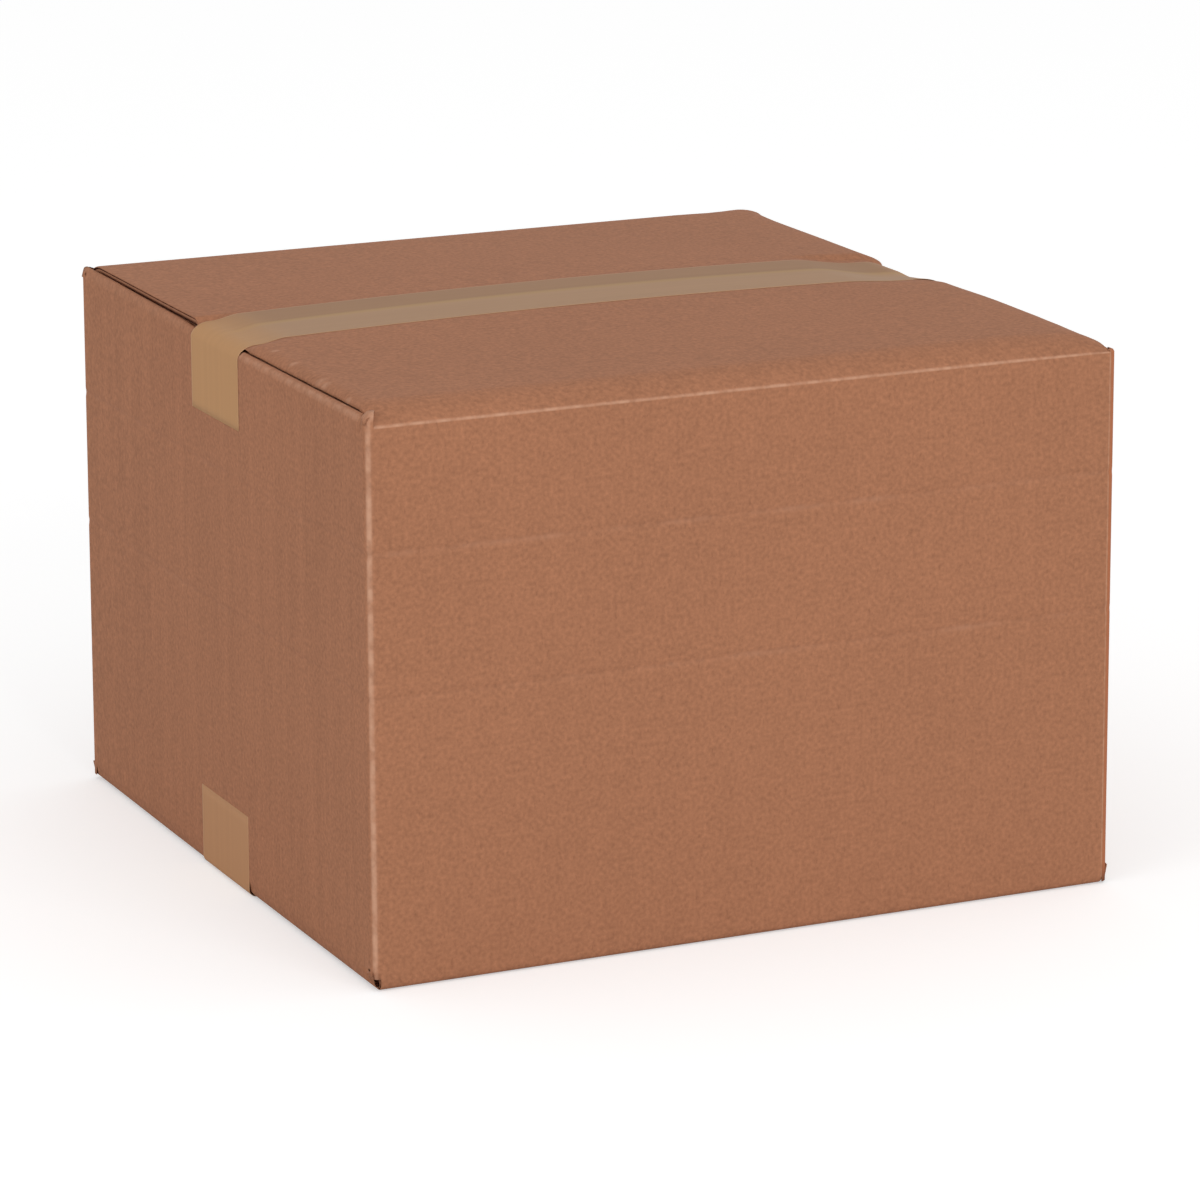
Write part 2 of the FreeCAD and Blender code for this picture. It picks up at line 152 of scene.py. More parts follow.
TIGHT_RADIUS = 2.2 * MM
TIGHT_TURN = math.radians(45)
EASY_RADIUS = 21.6 * MM
EASY_REACH = TIGHT_RADIUS * (1 - math.cos(TIGHT_TURN)) + EASY_RADIUS * math.cos(TIGHT_TURN)
EASY_RISE = TIGHT_RADIUS * math.sin(TIGHT_TURN) + EASY_RADIUS * (1 - math.sin(TIGHT_TURN))
SHORT_FOLD_RADIUS = 2.5 * MM
BASE_FOLD_RADIUS = 3.0 * MM


def right_droop(sizes, x):
    """How far the top has come down at x, where it bends over the right end's easy fold."""
    start = sizes.half_length - EASY_REACH
    past = min(max(0.0, x - start), EASY_RADIUS)
    return EASY_RADIUS - math.sqrt(EASY_RADIUS ** 2 - past ** 2)


def crown_rise(sizes, x, y):
    """Rise of the bowed flaps over their level: none at the folds, most at the seam's middle."""
    across = 1 - min(1.0, abs(y) / (sizes.half_width - EASY_REACH))
    along = 1 - min(1.0, (x / sizes.flap_end) ** 2)
    return sizes.crown * across * along


def along_points(points, value):
    """A smooth curve through (place, height) points in rising order, level past both ends."""
    if value <= points[0][0]:
        return points[0][1]
    for (low, first), (high, last) in zip(points, points[1:]):
        if value <= high:
            return blend(first, last, smooth_step(low, high, value))
    return points[-1][1]


# Millimetres across the box, and millimetres that the right end of the top lies below its arc
END_SAG = (
    (-156, 1.85), (-140, 1.3), (-122, 0.75), (-100, 0.38), (-72, 0.12), (-38, 0.55),
    (40, 1.15), (90, 0.9), (150, 0.75),
)
SAG_START = 110 * MM
SAG_FULL = 150 * MM


def end_sag(x, y):
    """The right end of the top has sunk a little, most beside the front and back folds."""
    return along_points(END_SAG, y / MM) * MM * smooth_step(SAG_START, SAG_FULL, x)


def free_top(sizes, x, y):
    """Height of a long flap where no tape presses on it."""
    return sizes.top + crown_rise(sizes, x, y) - right_droop(sizes, x) - end_sag(x, y)


# How the tape turns down over an end: where its bend starts, how far it goes across and down, and
# the run over which the flaps come down to it
Bend = namedtuple("Bend", "start across down run")
LEFT_BEND = Bend(148.5 * MM, 8.0 * MM, 5.6 * MM, 12 * MM)
RIGHT_BEND = Bend(138 * MM, 18.5 * MM, 13.0 * MM, 34 * MM)
LEFT_LEVEL = 220.0 * MM

# Millimetres across the box, and the height from which the tape turns down at the right end
RIGHT_LEVEL = (
    (-27, 220.95), (-21, 220.15), (-13, 219.2), (-6, 218.5), (0, 218.6), (8, 219.1), (24, 219.1),
)

# How far outside its near edge the tape still presses, and between which distances outside its
# far edge the pressure fades, at each end
NEAR_FADE = 7 * MM
LEFT_FADE = (0.0, 3.5 * MM)
RIGHT_FADE = (5 * MM, 10 * MM)


def bend_at(x, y):
    """The side of the end that is nearer to x, with the tape's bend there and its level."""
    if x < 0:
        return -1, LEFT_BEND, LEFT_LEVEL
    return 1, RIGHT_BEND, along_points(RIGHT_LEVEL, y / MM) * MM


def pressed_top(sizes, x, y):
    """Height of the top under the tape, which draws both ends of the flaps down."""
    side, bend, level = bend_at(x, y)
    past = side * x - bend.start
    if past > 0:
        share = min(past / bend.across, 1.0)
        return level - bend.down * (1 - math.sqrt(1 - share ** 2))
    share = smooth_step(bend.start - bend.run, bend.start, side * x)
    return blend(free_top(sizes, x, y), level, share)


def under_tape(tape, x, y):
    """1 under the top tape, falling to 0 a little way outside each of its edges."""
    near = smooth_step(tape.top_near - NEAR_FADE, tape.top_near, y)
    start, end = RIGHT_FADE if x > 0 else LEFT_FADE
    far = 1 - smooth_step(tape.top_far + start, tape.top_far + end, y)
    return near * far


# Mesh helpers

def verts_of(parts):
    """The vertices of some edges or faces, each once, in the same order each run."""
    return list(dict.fromkeys(vert for part in parts for vert in part.verts))


def pull(bm, edges):
    """Extrudes edges in place and returns the new outer edges."""
    made = bmesh.ops.extrude_edge_only(bm, edges=edges)["geom"]
    new_verts = {part for part in made if isinstance(part, bmesh.types.BMVert)}
    new_edges = [part for part in made if isinstance(part, bmesh.types.BMEdge)]
    return [edge for edge in new_edges if set(edge.verts) <= new_verts]


def pull_by(bm, edges, step):
    """Extrudes edges by a step."""
    edges = pull(bm, edges)
    bmesh.ops.translate(bm, verts=verts_of(edges), vec=step)
    return edges


def cut(bm, place, normal):
    """Cuts every face along a plane."""
    geometry = bm.verts[:] + bm.edges[:] + bm.faces[:]
    bmesh.ops.bisect_plane(bm, geom=geometry, dist=1e-7, plane_co=place, plane_no=normal)


def open_edges(bm, wanted):
    """Boundary edges whose middle satisfies a test."""
    edges = [edge for edge in bm.edges if edge.is_boundary]
    return [edge for edge in edges if wanted((edge.verts[0].co + edge.verts[1].co) / 2)]


# Where a turned crease is palest, as a share of its turn, and how far the pale mark of rubbed liner and
# painted highlight reaches
CREST_PLACE = 0.42
CREST_REACH = 0.6


def fold_flap(bm, edges, wall, inward, up, start, turns, reaches, wear_and_highlight):
    """Turns wall edges inward by each (radius, angle, steps, rubbing and painted highlight) and runs
    on to each reach.

    Wall is the distance of its outside from the middle, inward points from it to the middle, up
    is 1 or -1, start is the height of the score, and reaches are distances from the wall.
    """
    rise = Vector((0, 0, up))
    axis = rise.cross(inward)
    level = edges[0].verts[0].co.z
    edges = pull_by(bm, edges, Vector((0, 0, start - level)))
    on_path = -inward * wall + Vector((0, 0, start))
    swept = 0.0
    for radius, angle, steps, rubbed in turns:
        to_centre = inward * math.cos(swept) - rise * math.sin(swept)
        centre = on_path + to_centre * radius
        turn = Matrix.Rotation(angle / steps, 3, axis)
        for step in range(steps):
            edges = pull(bm, edges)
            bmesh.ops.rotate(bm, verts=verts_of(edges), cent=centre, matrix=turn)
            # Painted highlight with rubbed liner, brightest at each turn's crest
            crest = 1 - abs((step + 1) / steps - CREST_PLACE) / CREST_REACH
            for vert in verts_of(edges):
                vert[wear_and_highlight] = rubbed * max(0.0, crest)
        swept += angle
        on_path = centre - (inward * math.cos(swept) - rise * math.sin(swept)) * radius
    gone = inward.dot(on_path) + wall
    for reach in reaches:
        edges = pull_by(bm, edges, inward * (reach - gone))
        gone = reach
    return edges


def spread(low, high, step):
    """Even stations from low to high, both left out, about a step apart."""
    count = max(1, round((high - low) / step))
    return [low + (high - low) * index / count for index in range(1, count)]


def finish_mesh(bm, name, materials):
    """Turns a bmesh into a smooth-shaded object at the origin that rides on the carton."""
    for face in bm.faces:
        face.smooth = True
    mesh = bpy.data.meshes.new(name)
    bm.to_mesh(mesh)
    bm.free()
    piece = bpy.data.objects.new(name, mesh)
    bpy.context.scene.collection.objects.link(piece)
    for material in materials:
        mesh.materials.append(material)
    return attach(piece, "root")


# Node helpers

def new_node(tree, kind, **settings):
    """Adds a node and sets its properties."""
    node = tree.nodes.new(kind)
    for name, value in settings.items():
        setattr(node, name, value)
    return node


def feed(tree, value, socket):
    """Links an input to another node's output, or sets it to a number or a colour."""
    if isinstance(value, bpy.types.NodeSocket):
        tree.links.new(value, socket)
    elif isinstance(value, (int, float)):
        socket.default_value = value
    else:
        socket.default_value = (*value, 1.0)


def math_node(tree, operation, first, second=None, third=None, clamp=False):
    """A Math node fed by sockets or numbers."""
    node = new_node(tree, "ShaderNodeMath", operation=operation, use_clamp=clamp)
    for index, value in enumerate((first, second, third)):
        if value is not None:
            feed(tree, value, node.inputs[index])
    return node.outputs[0]


def mix_colour(tree, share, first, second, blend_type="MIX"):
    """A colour mix fed by sockets or plain colours."""
    node = new_node(tree, "ShaderNodeMix", data_type="RGBA", blend_type=blend_type)
    for index, value in ((0, share), (6, first), (7, second)):
        feed(tree, value, node.inputs[index])
    return node.outputs[2]


def map_range(tree, value, low, high, to_low=0.0, to_high=1.0, smooth=True):
    """Maps one range onto another."""
    kind = "SMOOTHSTEP" if smooth else "LINEAR"
    node = new_node(tree, "ShaderNodeMapRange", interpolation_type=kind)
    tree.links.new(value, node.inputs["Value"])
    for name, number in (("From Min", low), ("From Max", high), ("To Min", to_low), ("To Max", to_high)):
        node.inputs[name].default_value = number
    return node.outputs[0]


def noise_node(tree, where, scale, detail=2.0, stretch=None):
    """Noise from 0 to 1, stretched where a stretch is given."""
    if stretch:
        mapping = new_node(tree, "ShaderNodeMapping")
        mapping.inputs["Scale"].default_value = stretch
        tree.links.new(where, mapping.inputs["Vector"])
        where = mapping.outputs[0]
    node = new_node(tree, "ShaderNodeTexNoise")
    node.inputs["Scale"].default_value = scale
    node.inputs["Detail"].default_value = detail
    tree.links.new(where, node.inputs["Vector"])
    return node.outputs["Fac"]


def object_place(tree):
    """The place on the object, from its own origin."""
    return new_node(tree, "ShaderNodeTexCoord").outputs["Object"]


def centred(tree, value):
    """A value from 0 to 1, moved to lie about 0."""
    return math_node(tree, "SUBTRACT", value, 0.5)


def toned(tree, base, tone):
    """A colour multiplied by one value."""
    grey = new_node(tree, "ShaderNodeCombineColor")
    for channel in range(3):
        tree.links.new(tone, grey.inputs[channel])
    return mix_colour(tree, 1.0, base, grey.outputs[0], "MULTIPLY")


def board_fibre_group():
    """Kraft liner: mottling, flecks and the faint lines of the flutes below it.

    Puts out Tone, near 0, to lighten or darken by, Fleck, a mask of dark fibres, and Height.
    """
    name = "board_fibre"
    if name in bpy.data.node_groups:
        return bpy.data.node_groups[name]
    tree = bpy.data.node_groups.new(name, "ShaderNodeTree")
    face = tree.interface
    face.new_socket(name="Mottle", in_out="INPUT", socket_type="NodeSocketFloat")
    face.new_socket(name="Flute", in_out="INPUT", socket_type="NodeSocketFloat")
    for output in ("Tone", "Fleck", "Height"):
        face.new_socket(name=output, in_out="OUTPUT", socket_type="NodeSocketFloat")
    inputs = new_node(tree, "NodeGroupInput")
    outputs = new_node(tree, "NodeGroupOutput")
    where = object_place(tree)
    normal = new_node(tree, "ShaderNodeSeparateXYZ")
    tree.links.new(new_node(tree, "ShaderNodeNewGeometry").outputs["Normal"], normal.inputs[0])
    end_panel = math_node(tree, "GREATER_THAN", math_node(tree, "ABSOLUTE", normal.outputs["X"]), 0.5)
    fine = noise_node(tree, where, 620, 3.0)
    cloud = noise_node(tree, where, 140, 3.0)
    broad = noise_node(tree, where, 14, 2.0)
    flutes = new_node(tree, "ShaderNodeMix", data_type="FLOAT")
    tree.links.new(end_panel, flutes.inputs[0])
    tree.links.new(noise_node(tree, where, 1.0, 2.0, (210, 9, 9)), flutes.inputs[2])
    tree.links.new(noise_node(tree, where, 1.0, 2.0, (9, 210, 9)), flutes.inputs[3])
    speckle = math_node(tree, "MULTIPLY_ADD", centred(tree, cloud), 0.22, centred(tree, fine))
    speckle = math_node(tree, "MULTIPLY", speckle, inputs.outputs["Mottle"])
    speckle = math_node(tree, "MULTIPLY_ADD", centred(tree, broad), 0.10, speckle)
    shown = math_node(tree, "MULTIPLY_ADD", end_panel, 0.75, 0.25)
    lines = math_node(tree, "MULTIPLY", centred(tree, flutes.outputs[0]), inputs.outputs["Flute"])
    tone = math_node(tree, "ADD", speckle, math_node(tree, "MULTIPLY", lines, shown))
    tree.links.new(tone, outputs.inputs["Tone"])
    fibres = noise_node(tree, where, 1.0, 2.0, (900, 900, 420))
    tree.links.new(map_range(tree, fibres, 0.62, 0.74), outputs.inputs["Fleck"])
    height = math_node(tree, "MULTIPLY_ADD", flutes.outputs[0], 0.5, fine)
    tree.links.new(height, outputs.inputs["Height"])
    return tree


def attribute(tree, name):
    """A value stored on the mesh."""
    return new_node(tree, "ShaderNodeAttribute", attribute_name=name).outputs["Fac"]


def new_material(name, roughness, specular=0.5):
    """A Principled material and its node tree."""
    material = bpy.data.materials.new(name)
    material.use_nodes = True
    shader = material.node_tree.nodes["Principled BSDF"]
    shader.inputs["Roughness"].default_value = roughness
    shader.inputs["Specular IOR Level"].default_value = specular
    return material, material.node_tree, shader


def add_bump(tree, shader, height, strength, distance):
    """Feeds a height through a Bump node."""
    bump = new_node(tree, "ShaderNodeBump")
    bump.inputs["Strength"].default_value = strength
    bump.inputs["Distance"].default_value = distance
    tree.links.new(height, bump.inputs["Height"])
    tree.links.new(bump.outputs[0], shader.inputs["Normal"])


# Places where the top's left end is rubbed, each with its radius. Millimetres.
WORN_SPOTS = (
    ((-148.6, -46.8, 221), 1.6), ((-150.1, -70.3, 220.6), 1.8), ((-151.5, -101, 220), 2.4),
    ((-152, -106.8, 220), 2.2), ((-153.2, -131, 218.5), 2.0),
)


def spot(tree, where, place, radius):
    """A round patch with a soft rim."""
    node = new_node(tree, "ShaderNodeVectorMath", operation="DISTANCE")
    tree.links.new(where, node.inputs[0])
    node.inputs[1].default_value = [value * MM for value in place]
    return map_range(tree, node.outputs["Value"], 0.4 * radius * MM, 1.6 * radius * MM, 0.5, 0.0)


def kraft_material(colours):
    """The liner: speckled kraft with painted shade on the far upright folds, pale where the wear and
    highlight layer gives rubbed liner and painted highlights, and rubbed on the scores.
    """
    material, tree, shader = new_material("kraft_liner", 0.82, 0.25)
    fibre = new_node(tree, "ShaderNodeGroup", node_tree=board_fibre_group())
    fibre.inputs["Mottle"].default_value = 0.75
    fibre.inputs["Flute"].default_value = 0.22
    gain = math_node(tree, "ADD", fibre.outputs["Tone"], 1.0)
    base = toned(tree, colours.board, gain)
    flecks = math_node(tree, "MULTIPLY", fibre.outputs["Fleck"], 0.35)
    base = mix_colour(tree, flecks, base, colours.fleck)
    where = object_place(tree)
    # Painted shade on the far upright folds
    post_shade = math_node(tree, "MULTIPLY", attribute(tree, "post_shade"), 0.8)
    base = mix_colour(tree, post_shade, base, colours.post_shade)
    # Pale tone: rubbed liner on the worn spots and caps, and painted highlights on the fold crests and the
    # near upright fold
    raggedness = map_range(tree, noise_node(tree, where, 210, 3.0), 0.3, 0.7, 0.35, 1.0)
    wear_and_highlight = attribute(tree, "wear_and_highlight")
    for place, radius in WORN_SPOTS:
        wear_and_highlight = math_node(tree, "MAXIMUM", wear_and_highlight, spot(tree, where, place, radius))
    worn_and_highlight = math_node(tree, "MULTIPLY", wear_and_highlight, raggedness)
    worn_and_highlight = math_node(tree, "MULTIPLY", worn_and_highlight, 0.8, clamp=True)
    base = mix_colour(tree, worn_and_highlight, base, colours.worn_and_highlight)
    patches = map_range(tree, noise_node(tree, where, 34, 2.0), 0.4, 0.65, 0.2, 1.0)
    scored = math_node(tree, "MULTIPLY", attribute(tree, "score"), raggedness)
    scored = math_node(tree, "MULTIPLY", scored, patches)
    scored = math_node(tree, "MULTIPLY", scored, 0.5, clamp=True)
    base = mix_colour(tree, scored, base, colours.score)
    tree.links.new(base, shader.inputs["Base Color"])
    add_bump(tree, shader, fibre.outputs["Height"], 0.25, 0.0002)
    return material


def cut_edge_material(colours):
    """The cut ends of the liners."""
    material, tree, shader = new_material("liner_edge", 0.9, 0.2)
    where = object_place(tree)
    patches = noise_node(tree, where, 260, 3.0)
    base = mix_colour(tree, patches, colours.board, colours.score)
    tree.links.new(base, shader.inputs["Base Color"])
    return material


def flute_shade_material(colours):
    """The open flutes between the liners, painted in a lighter and a deeper shade tone mixed in patches."""
    material, tree, shader = new_material("painted_flute_shade", 0.95, 0.1)
    where = object_place(tree)
    patches = map_range(tree, noise_node(tree, where, 240, 2.0), 0.35, 0.7)
    # Painted shade: a lighter and a deeper shade tone mixed in patches
    base = mix_colour(tree, patches, colours.flute_deep_shade, colours.flute_half_shade)
    tree.links.new(base, shader.inputs["Base Color"])
    return material


TAPE_WIDTH = 50.8 * MM


def tape_material(colours):
    """Buff film: lengthwise streaks, pale rims, and a yellower line where it bridges the seam."""
    material, tree, shader = new_material("buff_tape", 0.6, 0.1)
    uv = new_node(tree, "ShaderNodeUVMap", uv_map="tape_run").outputs[0]
    parts = new_node(tree, "ShaderNodeSeparateXYZ")
    tree.links.new(uv, parts.inputs[0])
    across = parts.outputs["Y"]
    where = new_node(tree, "ShaderNodeSeparateXYZ")
    tree.links.new(object_place(tree), where.inputs[0])
    high = map_range(tree, where.outputs["Z"], 80 * MM, 120 * MM)
    on_ends = mix_colour(tree, high, colours.tape_low, colours.tape)
    far_half = map_range(tree, across, 24 * MM, 29 * MM)
    on_top = mix_colour(tree, far_half, colours.tape_near, colours.tape_far)
    line = math_node(tree, "ABSOLUTE", math_node(tree, "SUBTRACT", across, 27.0 * MM))
    line = map_range(tree, line, 0.6 * MM, 3.5 * MM, 0.5, 0.0)
    on_top = mix_colour(tree, line, on_top, colours.tape_seam)
    flat = map_range(tree, where.outputs["Z"], 216 * MM, 219.5 * MM)
    past_bend = map_range(tree, where.outputs["X"], -158 * MM, -126 * MM)
    flat = math_node(tree, "MULTIPLY", flat, past_bend)
    base = mix_colour(tree, flat, on_ends, on_top)
    bands = noise_node(tree, uv, 1.0, 3.0, (6, 240, 1))
    streaks = noise_node(tree, uv, 1.0, 2.0, (14, 900, 1))
    mask = math_node(tree, "MULTIPLY_ADD", centred(tree, streaks), 0.5, bands)
    tone = map_range(tree, mask, 0.2, 0.8, 0.96, 1.04, smooth=False)
    base = toned(tree, base, tone)
    rim = math_node(tree, "ABSOLUTE", math_node(tree, "SUBTRACT", across, 0.5 * TAPE_WIDTH))
    rim = map_range(tree, rim, 24.3 * MM, 25.2 * MM)
    base = mix_colour(tree, math_node(tree, "MULTIPLY", rim, 0.6), base, colours.tape_edge)
    tree.links.new(base, shader.inputs["Base Color"])
    add_bump(tree, shader, streaks, 0.1, 0.0001)
    return material


# The blank

TOUCH = 0.1 * MM
FLAP_GAP = 0.2 * MM
WALL_STEP = 9 * MM
COLUMN_STEP = 8 * MM
FLAP_START = 17 * MM
GLUE_TAB = 35 * MM
HALF_GROOVE = 2.0 * MM

# Millimetres: columns from the flaps' ends, rows from a score's middle, and rows across the long
# flaps from the tape's edges, the near flap's and the far one's
END_STEPS = (0, 0.4, 0.9, 1.5, 2.3, 3.2, 4.4, 6, 8, 10.5, 14, 18)
SCORE_STEPS = (-3.0, -2.0, -1.3, -0.6, 0, 0.6, 1.3, 2.0, 3.0)
NEAR_STEPS = (-12, -9, -7, -5.5, -4, -2.5, -1.2, 0, 9, 18)
FAR_STEPS = (-13, -10, -8.5, -7.2, -6, -5, -3.4, -2.6, -1.8, -0.9, 0, 8)

# Each turn of a fold: its radius, its angle, its steps and how much its crest is rubbed and given a painted
# highlight
LONG_TURNS = ((TIGHT_RADIUS, TIGHT_TURN, 7, 1.0), (EASY_RADIUS, math.pi / 2 - TIGHT_TURN, 10, 0.0))
EASY_TURNS = ((TIGHT_RADIUS, TIGHT_TURN, 6, 0.5), (EASY_RADIUS, math.pi / 2 - TIGHT_TURN, 10, 0.0))
ROUND_TURNS = ((SHORT_FOLD_RADIUS, math.pi / 2, 8, 0.0),)
BASE_TURNS = ((BASE_FOLD_RADIUS, math.pi / 2, 6, 0.0),)


def wall_tube(bm, sizes):
    """Four walls with round upright folds, open above and below."""
    height = sizes.ring_top - sizes.ring_foot
    bmesh.ops.create_cube(bm, size=1.0)
    bmesh.ops.scale(bm, verts=bm.verts, vec=(2 * sizes.half_length, 2 * sizes.half_width, height))
    middle = Vector((0, 0, (sizes.ring_top + sizes.ring_foot) / 2))
    bmesh.ops.translate(bm, verts=bm.verts, vec=middle)
    upright = [edge for edge in bm.edges if abs(edge.verts[0].co.z - edge.verts[1].co.z) > height / 2]
    bmesh.ops.bevel(
        bm, geom=upright, offset=sizes.post_radius, offset_type="OFFSET", segments=8,
        profile=0.5, affect="EDGES", material=-1,
    )
    caps = [face for face in bm.faces if abs(face.normal.z) > 0.5]
    bmesh.ops.delete(bm, geom=caps, context="FACES_ONLY")


def cut_columns(bm, sizes, tape):
    """Columns up the walls, which the flaps carry on, close together near the flaps' ends."""
    ends = [sizes.flap_end - step * MM for step in END_STEPS]
    for x in ends + [-x for x in ends] + spread(-ends[-1], ends[-1], COLUMN_STEP):
        cut(bm, (x, 0, 0), (1, 0, 0))
    rows = [sizes.flap_side, -sizes.flap_side] + spread(-sizes.flap_side, sizes.flap_side, COLUMN_STEP)
    rows += [tape.top_near - 1 * MM, tape.top_near, tape.top_far, tape.top_far + 1 * MM]
    for y in rows:
        cut(bm, (0, y, 0), (0, 1, 0))


def cut_scores(bm, sizes, score):
    """The two depth scores, a shallow groove round the walls, and level rows between them."""
    scores = (sizes.low_score, sizes.high_score)
    heights = [height + step * MM for height in scores for step in SCORE_STEPS]
    edge = SCORE_STEPS[-1] * MM
    heights += spread(sizes.ring_foot, sizes.low_score - edge, WALL_STEP)
    heights += spread(sizes.low_score + edge, sizes.high_score - edge, WALL_STEP)
    heights += spread(sizes.high_score + edge, sizes.ring_top, WALL_STEP)
    for height in heights:
        cut(bm, (0, 0, height), (0, 0, 1))
    bm.normal_update()
    for vert in bm.verts:
        away = min(abs(vert.co.z - height) for height in scores)
        share = 1 - smooth_step(0, HALF_GROOVE, away)
        out = Vector((vert.normal.x, vert.normal.y, 0))
        if share > 0 and out.length > 0:
            flat = smooth_step(0.75, 1.0, max(abs(vert.normal.x), abs(vert.normal.y)))
            vert.co -= out.normalized() * sizes.score_depth * share * flat
            vert[score] = share if abs(vert.normal.y) > 0.7 else 0.45 * share


def paint_post_light(bm, wear_and_highlight, post_shade):
    """Painted light on the upright folds: a painted highlight down the near one, and painted shade
    on the others with a thin painted highlight along both edges of their rounding.
    """
    for vert in bm.verts:
        corner = min(abs(vert.normal.x), abs(vert.normal.y))
        if vert.co.x < 0 and vert.co.y < 0:
            # Painted highlight down the near upright fold
            vert[wear_and_highlight] = smooth_step(0.3, 0.65, corner)
        else:
            # Painted shade on the other upright folds, and a thin painted highlight along both edges of
            # their rounding
            vert[post_shade] = smooth_step(0.05, 0.4, corner)
            vert[wear_and_highlight] = 0.55 * max(0.0, 1 - abs(corner - 0.1) / 0.06)


def open_joint(bm, sizes):
    """Opens the back right corner: the back panel's raw edge, and the end panel turned in."""
    turn = sizes.half_length - sizes.flap_end
    edge_line = sizes.half_width - sizes.board - turn
    cut(bm, (0, edge_line, 0), (0, 1, 0))
    corner = []
    for face in bm.faces:
        middle = face.calc_center_median()
        past_back = middle.x > sizes.flap_end
        past_end = middle.x > 0 and abs(face.normal.x) > 0.7
        if middle.y > edge_line and (past_back or past_end):
            corner.append(face)
    bmesh.ops.delete(bm, geom=corner, context="FACES")

    def on_end_panel(place):
        return place.x > sizes.half_length - 1 * MM and abs(place.y - edge_line) < TOUCH

    edges = open_edges(bm, on_end_panel)
    centre = Vector((sizes.flap_end, edge_line, 0))
    steps = 6
    turn_matrix = Matrix.Rotation(math.pi / 2 / steps, 3, "Z")
    for _ in range(steps):
        edges = pull(bm, edges)
        bmesh.ops.rotate(bm, verts=verts_of(edges), cent=centre, matrix=turn_matrix)
    pull_by(bm, edges, Vector((-GLUE_TAB, 0, 0)))


def ring_edges(bm, level, wanted):
    """The open edges of the walls at one height, where their middle satisfies a test."""
    return open_edges(bm, lambda place: abs(place.z - level) < TOUCH and wanted(place))


def grow_long_flaps(bm, sizes, tape, wear_and_highlight):
    """The long flaps of the top and the base, front and back, with rows beside the tapes."""
    reach_end = sizes.half_width - sizes.seam / 2
    near = (-1, tape.top_near, tape.base_near, NEAR_STEPS)
    far = (1, -tape.top_far, -tape.base_far, FAR_STEPS)
    for side, top_line, base_line, steps in (near, far):
        def on_wall(place):
            return abs(place.y - side * sizes.half_width) < 0.6 * MM and abs(place.x) < sizes.flap_end

        inward = Vector((0, -side, 0))
        rows = [sizes.half_width + top_line + step * MM for step in steps]
        reaches = spread(FLAP_START, rows[0], COLUMN_STEP) + rows + [reach_end]
        edges = ring_edges(bm, sizes.ring_top, on_wall)
        start = sizes.top - EASY_RISE
        fold_flap(bm, edges, sizes.half_width, inward, 1, start, LONG_TURNS, reaches, wear_and_highlight)
        rows = [sizes.half_width + base_line - step for step in (1 * MM, 0.2 * MM)]
        reaches = spread(FLAP_START, rows[0], 12 * MM) + rows + [reach_end]
        edges = ring_edges(bm, sizes.ring_foot, on_wall)
        start = BASE_FOLD_RADIUS
        fold_flap(bm, edges, sizes.half_width, inward, -1, start, BASE_TURNS, reaches, wear_and_highlight)


def grow_short_flaps(bm, sizes, wear_and_highlight):
    """The short flaps of the top and the base. The right top one has the easier fold."""
    face = sizes.top - sizes.board - FLAP_GAP
    base_start = sizes.board + FLAP_GAP + BASE_FOLD_RADIUS
    reach_end = sizes.half_length - 0.75 * MM
    reaches = spread(FLAP_START, reach_end, 20 * MM) + [reach_end]
    folds = (
        (-1, sizes.ring_top, 1, face - SHORT_FOLD_RADIUS, ROUND_TURNS, [3.1 * MM] + reaches),
        (1, sizes.ring_top, 1, face - EASY_RISE, EASY_TURNS, reaches),
        (-1, sizes.ring_foot, -1, base_start, BASE_TURNS, reaches),
        (1, sizes.ring_foot, -1, base_start, BASE_TURNS, reaches),
    )
    for side, level, up, start, turns, stops in folds:
        def on_wall(place):
            return abs(place.x - side * sizes.half_length) < 0.6 * MM and abs(place.y) < sizes.flap_side

        inward = Vector((-side, 0, 0))
        edges = ring_edges(bm, level, on_wall)
        fold_flap(bm, edges, sizes.half_length, inward, up, start, turns, stops, wear_and_highlight)


# The upright folds past the walls, by the sides of the box that they stand on: each one's top,
# its crushed caps as (size, height) pairs, its foot, and how much it is rubbed. Millimetres. The
# fourth corner holds the joint and has none.
POSTS = {
    (-1, -1): (216.0, ((0.87, 218.0), (0.6, 219.3), (0.25, 219.7)), 4.7, 0.8),
    (-1, 1): (216.9, ((0.93, 217.5), (0.7, 217.9)), 2.0, 0.2),
    (1, -1): (213.7, ((0.94, 214.5), (0.75, 214.9)), 0.8, 0.2),
}
CAP_CENTRE = 150.5 * MM


def grow_posts(bm, sizes, wear_and_highlight):
    """The upright folds stand a little past the walls, with crushed caps over the slots."""
    for (along, across), (top, caps, foot, rubbed) in POSTS.items():
        def on_post(place):
            x, y = place.x * along, place.y * across
            corner = min(x, y) > sizes.flap_side - 6 * MM
            beside = x > sizes.flap_end - 0.01 * MM or y > sizes.flap_side
            on_wall = y > sizes.half_width - 0.6 * MM and x < sizes.flap_end
            return corner and beside and not on_wall

        edges = ring_edges(bm, sizes.ring_top, on_post)
        edges = pull_by(bm, edges, Vector((0, 0, top * MM - sizes.ring_top)))
        centre = Vector((along * CAP_CENTRE, across * CAP_CENTRE, 0))
        before = 1.0
        for size, height in caps:
            edges = pull(bm, edges)
            for vert in verts_of(edges):
                flat = (vert.co - centre) * (size / before) + centre
                vert.co = Vector((flat.x, flat.y, height * MM))
                vert[wear_and_highlight] = rubbed
            before = size
        edges = ring_edges(bm, sizes.ring_foot, on_post)
        pull_by(bm, edges, Vector((0, 0, foot * MM - sizes.ring_foot)))


# Millimetres across the box, and how far the left short fold's crest stands up past its arc
CREST_LIFT = ((26, 0.3), (36, 1.35), (76, 1.6), (136, 1.97))
NEAR_CREST = 0.7 * MM
BASE_CREST = 3.2 * MM
FOLD_END_OUT = 3.9 * MM


